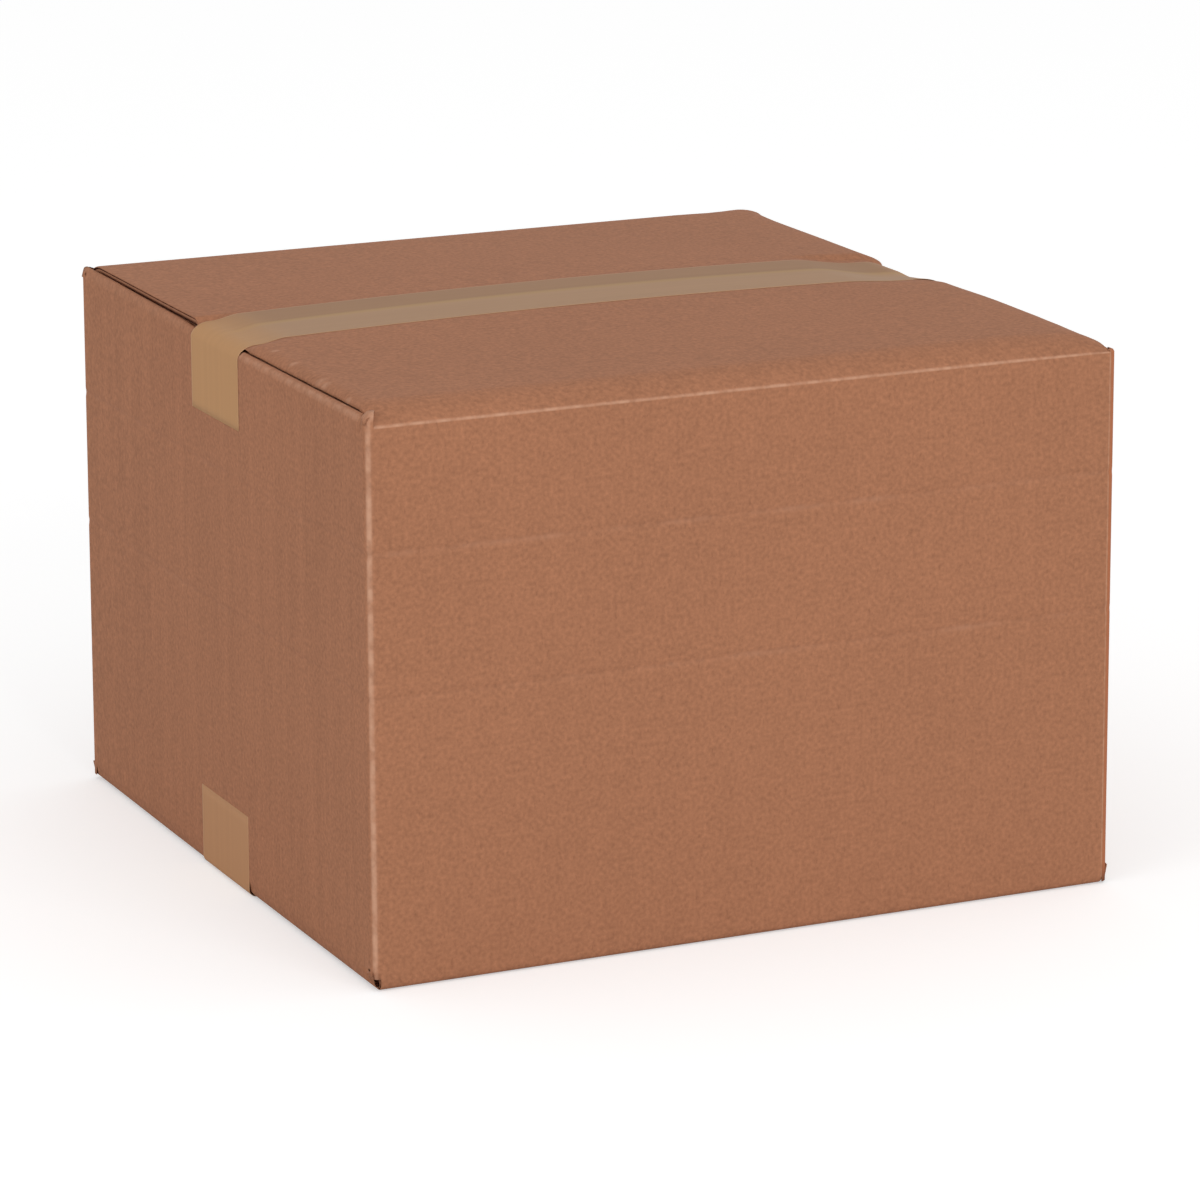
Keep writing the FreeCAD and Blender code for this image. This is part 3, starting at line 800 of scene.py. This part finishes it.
def shape_short_folds(bm, tape, wear_and_highlight):
    """Crests on the short folds, which close the slots beside the long flaps' ends.

    The left top one stands up behind the tape, and its crest carries a painted highlight, faint
    behind the tape. Both base ones come down to the floor. Their ends are crushed out to the
    corners.
    """
    for vert in bm.verts:
        x, y, z = vert.co
        at_base, at_top = z < 8 * MM, z > 214.8 * MM
        if abs(x) < 153.6 * MM or abs(y) > 151.5 * MM or not (at_base or at_top):
            continue
        share = smooth_step(-156.3 * MM, -155.2 * MM, -abs(x))
        if at_base:
            vert.co.z -= BASE_CREST * share
        elif x < 0:
            # Painted highlight with rubbed liner along the left top fold's crest, faint behind the tape
            rubbed = 0.6
            if y > tape.top_far:
                vert.co.z += along_points(CREST_LIFT, y / MM) * MM * share
                rubbed = 0.15
            elif y < tape.top_near:
                vert.co.z += NEAR_CREST * share
            vert[wear_and_highlight] = max(vert[wear_and_highlight], rubbed * max(0.0, 1 - abs(x + 155.7 * MM) / (0.9 * MM)))
        if x < 0 or at_base:
            vert.co.y += math.copysign(FOLD_END_OUT, y) * smooth_step(147 * MM, 151.4 * MM, abs(y))


BACK_PUFF = 1.4 * MM


def shape_top(bm, sizes, tape):
    """Bows the long top flaps, droops their right ends and presses them under the tape.

    The right short flap sinks with them, and the back fold puffs out at its right end.
    """
    fold_height = sizes.top - EASY_RISE
    short_face = sizes.top - sizes.board - FLAP_GAP
    for vert in bm.verts:
        x, y, z = vert.co
        right_end = x > 60 * MM and abs(y) < sizes.flap_side + TOUCH
        if right_end and sizes.ring_top < z < short_face + TOUCH:
            vert.co.z -= end_sag(x, y) * smooth_step(sizes.ring_top, sizes.ring_top + 3 * MM, z)
            continue
        on_flap = abs(z - sizes.top) < 0.2 * MM
        in_fold = abs(y) > sizes.half_width - EASY_REACH - TOUCH
        past_end = x < -(sizes.flap_end + 1.2 * MM)
        if z < fold_height or past_end or not (on_flap or in_fold):
            continue
        if in_fold and y > 0:
            bulge = max(0.0, 1 - ((y - 150 * MM) / (6 * MM)) ** 2)
            vert.co.z += BACK_PUFF * smooth_step(125 * MM, 150 * MM, x) * bulge
        share = (z - fold_height) / EASY_RISE
        rise = crown_rise(sizes, x, y) if on_flap else 0.0
        held = 1 - 0.25 * smooth_step(120 * MM, 150 * MM, y) - 0.35 * smooth_step(138 * MM, 151 * MM, -y)
        vert.co.z += rise - (right_droop(sizes, min(x, sizes.flap_end)) * held + end_sag(x, y)) * share
        if on_flap:
            hidden = smooth_step(0, 4 * MM, min(y - tape.top_near, tape.top_far - y))
            press = pressed_top(sizes, x, y) - tape.lift - 0.2 * MM * hidden
            vert.co.z = blend(vert.co.z, min(press, vert.co.z), under_tape(tape, x, y))


def roll_cut_ends(bm, sizes, tape):
    """The slotting blade pinches the flaps' ends. The near left one is rolled right over."""
    for vert in bm.verts:
        x, y, z = vert.co
        if abs(z - sizes.top) > 6 * MM or abs(y) > sizes.half_width - 4 * MM:
            continue
        if x < 0 and z < sizes.top - 3 * MM and under_tape(tape, x, y) == 0:
            continue
        near_left = x < 0 and y < 0
        roll, depth = (5.5 * MM, 3.5 * MM) if near_left else (1.6 * MM, 0.3 * MM)
        away = sizes.flap_end - abs(x)
        if away < -0.01 * MM or away > roll:
            continue
        ragged = 1 + 0.1 * noise.noise(Vector((y * 160, x * 40, 3.1)))
        over = 1 - math.sqrt(max(0.0, 1 - (0.995 * (1 - away / roll)) ** 2))
        fall = depth * ragged * over * (1 - under_tape(tape, x, y))
        vert.co.z = min(z, max(z - fall, sizes.top - 3.7 * MM)) if near_left else z - fall


def press_folds(bm, tape):
    """Presses the short folds and the long flaps' ends in behind the tape's bends."""
    inside = 0.985
    for vert in bm.verts:
        x, y, z = vert.co
        share = under_tape(tape, x, y)
        side, bend, level = bend_at(x, y)
        centre_z = level - bend.down
        if side * x < bend.start or z < centre_z or share == 0:
            continue
        out = (side * x - bend.start) / bend.across
        up = (z - centre_z) / bend.down
        away = math.hypot(out, up)
        if away > inside:
            vert.co.x = blend(x, side * (bend.start + out / away * inside * bend.across), share)
            vert.co.z = blend(z, centre_z + up / away * inside * bend.down, share)


def bed_base_tape(bm, tape):
    """The base flaps give way by the film's thickness over the tape."""
    for vert in bm.verts:
        if vert.co.z < 0.05 * MM and tape.base_near - 0.5 * MM < vert.co.y < tape.base_far + 0.5 * MM:
            vert.co.z = 0.25 * MM


def ease_back_corner(bm, sizes):
    """The end panel bows in a little towards the back left corner, most at the top."""
    for vert in bm.verts:
        x, y, z = vert.co
        share = smooth_step(30 * MM, sizes.half_width, y) * smooth_step(120 * MM, 150 * MM, -x)
        vert.co.x += blend(0.6, 1.15, z / sizes.top) * MM * share


def thicken(bm, sizes):
    """Gives the sheet the board's thickness and opens the flutes in its cut edges."""
    walls = [face for face in bm.faces if abs(face.normal.z) < 0.5]
    outward = sum(face.normal.dot(face.calc_center_median() - Vector((0, 0, 0.1))) > 0 for face in walls)
    if outward < len(walls) / 2:
        bmesh.ops.reverse_faces(bm, faces=bm.faces)
    rims = [edge for edge in bm.edges if edge.is_boundary]
    ways_out = {}
    for edge in rims:
        middle = (edge.verts[0].co + edge.verts[1].co) / 2
        way = middle - edge.link_faces[0].calc_center_median()
        along = (edge.verts[1].co - edge.verts[0].co).normalized()
        way -= along * way.dot(along)
        for vert in edge.verts:
            ways_out[vert] = ways_out.get(vert, Vector()) + way.normalized()
    # Keys keep their order, unlike a set, so that each run makes the same mesh
    sheet = dict.fromkeys(bm.faces)
    outer = dict.fromkeys(bm.verts)
    bmesh.ops.solidify(bm, geom=list(sheet), thickness=sizes.board)
    lift_inner_end(bm, sizes, outer)
    settle_inside(bm, sizes, outer)
    rim_faces = dict.fromkeys(face for edge in rims for face in edge.link_faces if face not in sheet)
    open_flutes(bm, ways_out, rim_faces)


def lift_inner_end(bm, sizes, outer):
    """Keeps the inner liner of the long flaps' left ends just above the short flap."""
    short_face = sizes.top - sizes.board
    low, high = -sizes.flap_end - 0.5 * MM, -sizes.flap_end + 7 * MM
    for vert in bm.verts:
        x, y, z = vert.co
        at_end = low < x < high and abs(y) < sizes.half_width - 16 * MM
        if at_end and short_face - 2.5 * MM < z < short_face and vert not in outer:
            vert.co.z = short_face + 0.02 * MM


def settle_inside(bm, sizes, outer):
    """Where a sharp crush throws the inner liner too far, it settles between its neighbours.

    It settles in rounds, from the sound liner inwards, so that the order of the vertices within a
    round makes no difference.
    """
    tree = kdtree.KDTree(len(outer))
    for number, vert in enumerate(outer):
        tree.insert(vert.co, number)
    tree.balance()
    margin = 1.6 * MM

    def astray(vert):
        x, y, z = vert.co
        beyond = abs(x) > sizes.half_length - margin or abs(y) > sizes.half_width - margin
        return beyond or z < 1 * MM or tree.find(vert.co)[2] > 1.12 * sizes.board

    lost = dict.fromkeys(vert for vert in bm.verts if vert not in outer and astray(vert))
    settled = lost
    while settled:
        settled = {}
        for vert in lost:
            near = [edge.other_vert(vert) for edge in vert.link_edges]
            near = [other.co for other in near if other not in lost and other not in outer]
            if near:
                settled[vert] = sum(near, Vector()) / len(near)
        for vert, place in settled.items():
            vert.co = place
            del lost[vert]
    for vert in lost:
        vert.co = tree.find(vert.co)[0] * 0.985


# Shares of the board's thickness at the rows of a cut edge: the flutes lie between the middle two
FLUTE_SHARES = (0.06, 0.08, 0.25, 0.27)
FLUTE_SINK = 0.5 * MM
LINER_EDGE, OPEN_FLUTE = 1, 2


def open_flutes(bm, ways_out, rim_faces):
    """Splits each cut edge: the outer liner's edge, the open flutes sunk below it, and the rest."""
    edges = dict.fromkeys(edge for face in rim_faces for edge in face.edges)
    rungs = [edge for edge in edges if (edge.verts[0] in ways_out) != (edge.verts[1] in ways_out)]
    ends = []
    for edge in rungs:
        first, last = edge.verts if edge.verts[0] in ways_out else reversed(edge.verts)
        ends.append((first.co.copy(), last.co.copy(), ways_out[first].copy()))
    cuts = len(FLUTE_SHARES)
    bmesh.ops.subdivide_edges(bm, edges=rungs, cuts=cuts, use_grid_fill=True)
    bm.verts.ensure_lookup_table()
    tree = kdtree.KDTree(len(bm.verts))
    for number, vert in enumerate(bm.verts):
        tree.insert(vert.co, number)
    tree.balance()
    places = {}
    for first, last, way in ends:
        run = last - first
        for step, share in enumerate(FLUTE_SHARES, 1):
            found = tree.find_range(first + run * step / (cuts + 1), 1e-6)
            sunk = share in FLUTE_SHARES[1:3] and way.length > 0.5 and len(found) == 1
            sink = way.normalized() * FLUTE_SINK if sunk else Vector()
            for _, number, _ in found:
                places[bm.verts[number]] = first + run * share - sink
    for vert, place in places.items():
        vert.co = place
    for face in bm.faces:
        if any(vert in places for vert in face.verts):
            between = [edge for edge in face.edges if all(vert in places for vert in edge.verts)]
            face.material_index = OPEN_FLUTE if len(between) >= 4 else LINER_EDGE


def blank(sizes, tape, colours):
    """The whole folded blank as one mesh."""
    bm = bmesh.new()
    wear_and_highlight = bm.verts.layers.float.new("wear_and_highlight")
    post_shade = bm.verts.layers.float.new("post_shade")
    score = bm.verts.layers.float.new("score")
    wall_tube(bm, sizes)
    cut_columns(bm, sizes, tape)
    cut_scores(bm, sizes, score)
    paint_post_light(bm, wear_and_highlight, post_shade)
    open_joint(bm, sizes)
    grow_long_flaps(bm, sizes, tape, wear_and_highlight)
    grow_short_flaps(bm, sizes, wear_and_highlight)
    bmesh.ops.remove_doubles(bm, verts=bm.verts, dist=1e-6)
    shape_short_folds(bm, tape, wear_and_highlight)
    shape_top(bm, sizes, tape)
    roll_cut_ends(bm, sizes, tape)
    press_folds(bm, tape)
    bed_base_tape(bm, tape)
    ease_back_corner(bm, sizes)
    grow_posts(bm, sizes, wear_and_highlight)
    bmesh.ops.recalc_face_normals(bm, faces=bm.faces)
    thicken(bm, sizes)
    materials = [kraft_material(colours), cut_edge_material(colours), flute_shade_material(colours)]
    piece = finish_mesh(bm, "folded_blank", materials)
    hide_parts("carton")


class CARTON_OT_blank(bpy.types.Operator):
    """Fold the blank into a closed carton"""

    bl_idname = "carton.blank"
    bl_label = "Folded blank"

    def execute(self, context):
        scene = context.scene
        blank(scene.carton_sizes, scene.tape_sizes, scene.carton_colours)
        return {"FINISHED"}


# The tapes

def strip(name, node, stations, across, place, film, material):
    """A strip of film: a grid with a row at each station, put in place and given its thickness.

    Stations run along the film, across are shares of its width, and place(station, share) gives
    the point on the surface below the film. Node is the body that the strip takes the place of.
    """
    bm = bmesh.new()
    bmesh.ops.create_grid(bm, x_segments=len(stations) - 1, y_segments=len(across) - 1, size=0.5)
    run = bm.loops.layers.uv.new("tape_run")
    index = {}
    for vert in bm.verts:
        column = round((vert.co.x + 0.5) * (len(stations) - 1))
        row = round((vert.co.y + 0.5) * (len(across) - 1))
        index[vert] = (column, row)
    width = (place(stations[0], 1.0) - place(stations[0], 0.0)).length
    travelled = [0.0]
    for before, after in zip(stations, stations[1:]):
        travelled.append(travelled[-1] + (place(after, 0.5) - place(before, 0.5)).length)
    for face in bm.faces:
        for loop in face.loops:
            column, row = index[loop.vert]
            loop[run].uv = (travelled[column], across[row] * width)
    for vert, (column, row) in index.items():
        vert.co = place(stations[column], across[row])
    bm.normal_update()
    bmesh.ops.solidify(bm, geom=bm.faces[:], thickness=-film)
    bmesh.ops.recalc_face_normals(bm, faces=bm.faces)
    piece = finish_mesh(bm, name, [material])
    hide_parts(node)


def quarter(steps):
    """Even angles over a quarter turn, both ends included."""
    return [math.pi / 2 * step / steps for step in range(steps + 1)]


def top_tape(sizes, tape, material):
    """The strip over the top seam and down both end panels."""
    edge = sizes.half_length + tape.lift
    left, right = LEFT_BEND, RIGHT_BEND
    left_settled = -left.start + 16 * MM
    places = [max(-left.start - left.across * math.cos(angle), -edge) for angle in quarter(14)]
    places += spread(-left.start, left_settled, 1.5 * MM)
    places += spread(left_settled, right.start - right.run, 5 * MM)
    places += spread(right.start - right.run, right.start, 2 * MM)
    places += [min(right.start + right.across * math.sin(angle), edge) for angle in quarter(16)]
    right_vertical = pressed_top(sizes, edge, 0)
    stations = [("left", tape.top_tail)]
    stations += [("left", z) for z in spread(tape.top_tail, LEFT_LEVEL - left.down, 3 * MM)]
    stations += [("top", x) for x in places]
    stations += [("right", z) for z in reversed(spread(tape.top_tail, right_vertical, 3 * MM))]
    stations += [("right", tape.top_tail)]
    across = [0, 0.02, 0.06, 0.12, 0.2, 0.3, 0.4, 0.47, 0.5, 0.53, 0.6, 0.7, 0.8, 0.88, 0.94, 0.98, 1.0]

    def place(station, share):
        run, value = station
        y = blend(tape.top_near, tape.top_far, share)
        if run == "left":
            return Vector((-edge, y, value))
        if run == "right":
            return Vector((edge, y, value))
        return Vector((value, y, pressed_top(sizes, value, y)))

    strip("top_tape_film", "top_tape", stations, across, place, tape.film, material)


def base_tape(sizes, tape, material):
    """The strip under the base and up both end panels."""
    turn = sizes.half_length - sizes.flap_end + tape.lift
    flat = tape.film + tape.lift
    edge = sizes.flap_end + turn
    stations = [("left", tape.base_tail)]
    stations += [("left", z) for z in reversed(spread(flat + turn, tape.base_tail, 4 * MM))]
    stations += [("left_bend", angle) for angle in quarter(8)]
    stations += [("flat", x) for x in spread(-sizes.flap_end, sizes.flap_end, 12 * MM)]
    stations += [("right_bend", angle) for angle in quarter(8)]
    stations += [("right", z) for z in spread(flat + turn, tape.base_tail, 4 * MM)]
    stations += [("right", tape.base_tail)]
    across = [0, 0.02, 0.25, 0.5, 0.75, 0.98, 1.0]

    def place(station, share):
        run, value = station
        y = blend(tape.base_near, tape.base_far, share)
        if run == "left":
            return Vector((-edge, y, value))
        if run == "right":
            return Vector((edge, y, value))
        if run == "flat":
            return Vector((value, y, flat))
        side = -1 if run == "left_bend" else 1
        angle = value if side < 0 else math.pi / 2 - value
        x = side * (sizes.flap_end + turn * math.cos(angle))
        return Vector((x, y, flat + turn - turn * math.sin(angle)))

    strip("base_tape_film", "bottom_tape", stations, across, place, tape.film, material)


class CARTON_OT_tapes(bpy.types.Operator):
    """Lay the tape over the top seam and under the base seam"""

    bl_idname = "carton.tapes"
    bl_label = "Tapes"

    def execute(self, context):
        scene = context.scene
        material = tape_material(scene.carton_colours)
        top_tape(scene.carton_sizes, scene.tape_sizes, material)
        base_tape(scene.carton_sizes, scene.tape_sizes, material)
        return {"FINISHED"}


# The stage

WORLD_LIGHT = 0.7
FLOOR_TONE = 0.8
FLOOR_GLOW = 0.41
FLOOR_DROP = 0.2 * MM
LAMP_SIZE = 1.6
AIM = Vector((0, 0, 0.11))


def white_world():
    """Plain white to the camera and in reflections, and a softer even light on the object."""
    world = bpy.data.worlds.new("studio")
    world.use_nodes = True
    tree = world.node_tree
    light = tree.nodes["Background"]
    light.inputs["Color"].default_value = (1.0, 1.0, 1.0, 1.0)
    light.inputs["Strength"].default_value = WORLD_LIGHT
    seen = new_node(tree, "ShaderNodeBackground")
    seen.inputs["Color"].default_value = (1.0, 1.0, 1.0, 1.0)
    seen.inputs["Strength"].default_value = 1.0
    path = new_node(tree, "ShaderNodeLightPath")
    direct = math_node(tree, "MAXIMUM", path.outputs["Is Camera Ray"], path.outputs["Is Glossy Ray"])
    direct = math_node(tree, "MAXIMUM", direct, path.outputs["Is Transmission Ray"])
    mix = new_node(tree, "ShaderNodeMixShader")
    tree.links.new(direct, mix.inputs[0])
    tree.links.new(light.outputs[0], mix.inputs[1])
    tree.links.new(seen.outputs[0], mix.inputs[2])
    tree.links.new(mix.outputs[0], tree.nodes["World Output"].inputs["Surface"])
    bpy.context.scene.world = world


def floor():
    """A wide floor that renders white, keeps the shadow and is clear from below."""
    bm = bmesh.new()
    bmesh.ops.create_grid(bm, x_segments=1, y_segments=1, size=20.0)
    mesh = bpy.data.meshes.new("floor")
    bm.to_mesh(mesh)
    bm.free()
    plane = bpy.data.objects.new("floor", mesh)
    plane.location = (0, 0, -FLOOR_DROP)
    bpy.context.scene.collection.objects.link(plane)
    material = bpy.data.materials.new("white_floor")
    material.use_nodes = True
    tree = material.node_tree
    tree.nodes.clear()
    output = new_node(tree, "ShaderNodeOutputMaterial")
    matt = new_node(tree, "ShaderNodeBsdfDiffuse")
    matt.inputs["Color"].default_value = (FLOOR_TONE, FLOOR_TONE, FLOOR_TONE, 1.0)
    glow = new_node(tree, "ShaderNodeEmission")
    path = new_node(tree, "ShaderNodeLightPath")
    glowing = math_node(tree, "MULTIPLY", path.outputs["Is Camera Ray"], FLOOR_GLOW)
    tree.links.new(glowing, glow.inputs["Strength"])
    both = new_node(tree, "ShaderNodeAddShader")
    tree.links.new(matt.outputs[0], both.inputs[0])
    tree.links.new(glow.outputs[0], both.inputs[1])
    clear = new_node(tree, "ShaderNodeBsdfTransparent")
    side = new_node(tree, "ShaderNodeMixShader")
    tree.links.new(new_node(tree, "ShaderNodeNewGeometry").outputs["Backfacing"], side.inputs[0])
    tree.links.new(both.outputs[0], side.inputs[1])
    tree.links.new(clear.outputs[0], side.inputs[2])
    tree.links.new(side.outputs[0], output.inputs["Surface"])
    mesh.materials.append(material)


def lamp(name, place, power):
    """A square soft light aimed at the carton."""
    data = bpy.data.lights.new(name, "AREA")
    data.energy = power
    data.size = LAMP_SIZE
    light = bpy.data.objects.new(name, data)
    light.location = place
    light.rotation_euler = (AIM - Vector(place)).to_track_quat("-Z", "Y").to_euler()
    bpy.context.scene.collection.objects.link(light)


def camera():
    """The camera at the photograph's place and lens."""
    data = bpy.data.cameras.new("camera")
    data.lens = CAMERA_LENS
    data.sensor_width = CAMERA_SENSOR
    data.shift_y = CAMERA_RISE
    data.clip_start = 0.05
    data.clip_end = 100.0
    viewer = bpy.data.objects.new("camera", data)
    turn = Matrix.Rotation(CAMERA_YAW, 4, "Z") @ Matrix.Rotation(math.pi / 2 - CAMERA_DOWN, 4, "X")
    viewer.matrix_world = Matrix.Translation(CAMERA_PLACE) @ turn @ Matrix.Rotation(CAMERA_ROLL, 4, "Z")
    bpy.context.scene.collection.objects.link(viewer)
    bpy.context.scene.camera = viewer


class CARTON_OT_stage(bpy.types.Operator):
    """Set up the floor, the lights and the camera"""

    bl_idname = "carton.stage"
    bl_label = "Stage"

    def execute(self, context):
        white_world()
        floor()
        lamp("front_key", (0.3, -2.7, 0.9), 23.3)
        lamp("end_fill", (-2.6, -0.9, 0.9), 12.0)
        camera()
        context.scene.view_settings.view_transform = "Standard"
        return {"FINISHED"}


class CARTON_PT_panel(bpy.types.Panel):
    """Lists the steps that make the carton"""

    bl_idname = "CARTON_PT_panel"
    bl_label = "Closed carton"
    bl_space_type = "VIEW_3D"
    bl_region_type = "UI"
    bl_category = "Carton"

    def draw(self, context):
        scene = context.scene
        for group in (scene.carton_sizes, scene.tape_sizes, scene.carton_colours):
            box = self.layout.box()
            for name in group.bl_rna.properties.keys():
                if name not in ("rna_type", "name"):
                    box.prop(group, name)
        for step in STEPS:
            self.layout.operator(step.bl_idname)


STEPS = (CARTON_OT_blank, CARTON_OT_tapes, CARTON_OT_stage)
GROUPS = (CartonSizes, TapeSizes, CartonColours)


def register():
    for item in GROUPS + STEPS + (CARTON_PT_panel,):
        bpy.utils.register_class(item)
    bpy.types.Scene.carton_sizes = bpy.props.PointerProperty(type=CartonSizes)
    bpy.types.Scene.tape_sizes = bpy.props.PointerProperty(type=TapeSizes)
    bpy.types.Scene.carton_colours = bpy.props.PointerProperty(type=CartonColours)


def unregister():
    del bpy.types.Scene.carton_colours
    del bpy.types.Scene.tape_sizes
    del bpy.types.Scene.carton_sizes
    for item in reversed(GROUPS + STEPS + (CARTON_PT_panel,)):
        bpy.utils.unregister_class(item)


def main():
    register()
    bpy.ops.carton.blank()
    bpy.ops.carton.tapes()
    bpy.ops.carton.stage()


if __name__ == "__main__":
    main()
